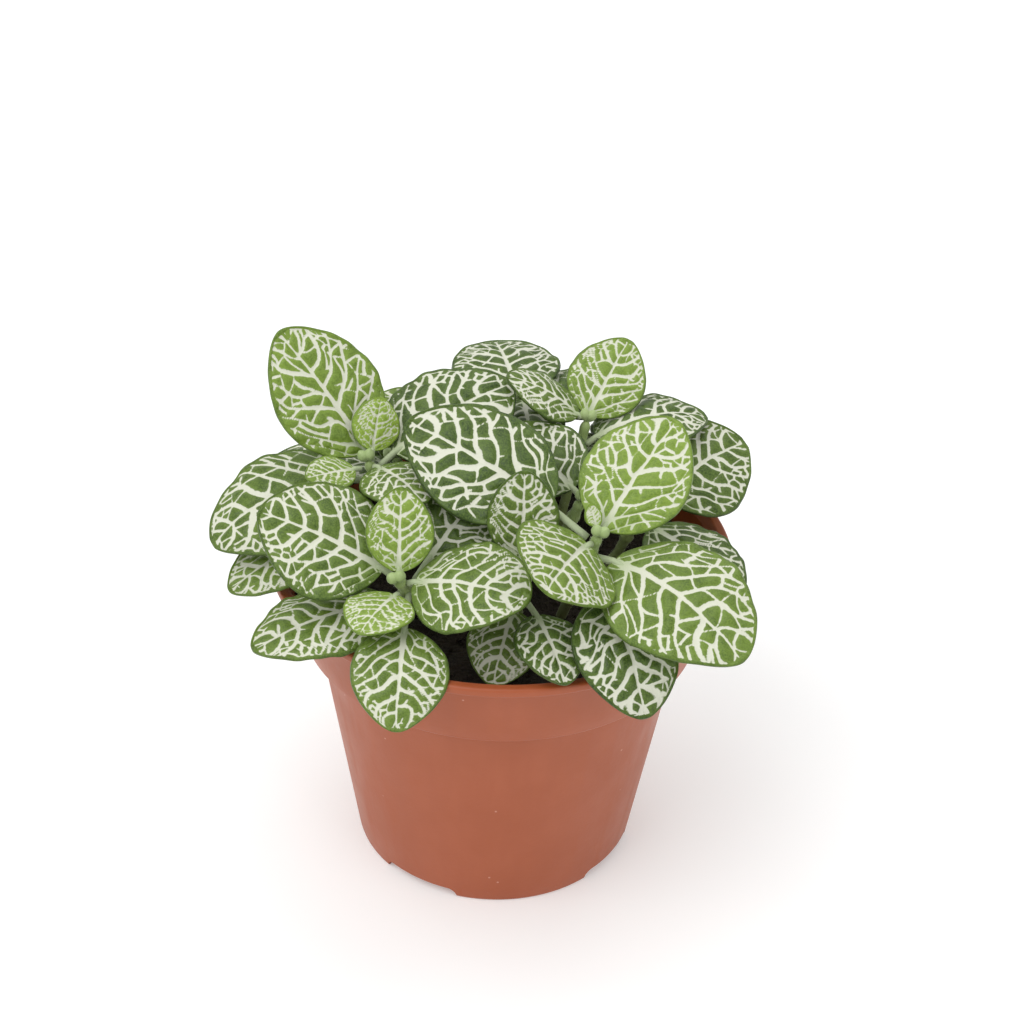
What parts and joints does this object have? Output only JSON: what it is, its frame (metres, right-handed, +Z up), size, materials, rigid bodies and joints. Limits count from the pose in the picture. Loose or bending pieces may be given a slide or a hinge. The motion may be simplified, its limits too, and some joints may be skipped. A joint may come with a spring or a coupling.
{
  "type": "potted nerve plant",
  "caption": "White-veined nerve plant with layered oval leaves on short green stems, rooted in potting mix in a tapered, collared terracotta-coloured plastic pot.",
  "frame": {"origin": "centre of the pot's flat base, on the surface it stands on", "axes": "+Z up along the pot's axis, -Y towards the front of the plant, +X to the right seen from the front"},
  "size_m": [0.1397, 0.1376, 0.1427],
  "materials": {
    "pot_plastic": "satin moulded terracotta-coloured plastic with faint streaks and pale specks",
    "potting_mix": "dark damp crumbly potting mix",
    "green_stem": "pale green juicy stem, slightly translucent",
    "leaf": "dark green leaf with a net of cream veins, satin",
    "young_leaf": "light yellow-green young leaf with a net of cream veins, satin"
  },
  "bodies": {
    "root": {"pot": "pot_plastic", "soil": "potting_mix", "stem_left": "green_stem", "leaf_left_1a": "young_leaf", "leaf_left_1b": "young_leaf", "leaf_left_2a": "leaf", "leaf_left_2b": "leaf", "leaf_left_3a": "leaf", "leaf_left_3b": "leaf", "leaf_left_4a": "leaf", "stem_front_left": "green_stem", "leaf_front_left_1a": "young_leaf", "leaf_front_left_1b": "young_leaf", "leaf_front_left_2a": "leaf", "leaf_front_left_2b": "leaf", "leaf_front_left_3a": "leaf", "leaf_front_left_3b": "leaf", "leaf_front_left_4a": "leaf", "stem_front": "green_stem", "leaf_front_1a": "young_leaf", "leaf_front_1b": "leaf", "leaf_front_2a": "leaf", "stem_right": "green_stem", "leaf_right_1a": "young_leaf", "leaf_right_2a": "leaf", "leaf_right_2b": "leaf", "leaf_right_3a": "leaf", "leaf_right_3b": "leaf", "leaf_right_4a": "leaf", "stem_middle": "green_stem", "leaf_middle_1a": "young_leaf", "stem_side_right": "green_stem", "leaf_side_right_1a": "young_leaf", "leaf_side_right_1b": "leaf", "stem_back_right": "green_stem", "leaf_back_right_1a": "young_leaf", "leaf_back_right_1b": "young_leaf", "leaf_back_right_2a": "leaf", "stem_back": "green_stem", "leaf_back_1a": "young_leaf", "leaf_back_1b": "young_leaf", "leaf_back_2a": "leaf", "leaf_back_2b": "leaf", "leaf_back_3a": "leaf", "stem_back_left": "green_stem", "leaf_back_left_1a": "young_leaf", "leaf_back_left_1b": "young_leaf", "leaf_back_left_2a": "leaf", "leaf_back_left_2b": "leaf", "leaf_back_left_3a": "leaf", "stem_back_far_right": "green_stem", "leaf_back_far_right_1a": "young_leaf", "leaf_back_far_right_1b": "young_leaf", "leaf_back_far_right_2a": "leaf", "leaf_back_far_right_2b": "leaf", "leaf_back_far_right_3a": "leaf"}
  },
  "joints": []
}
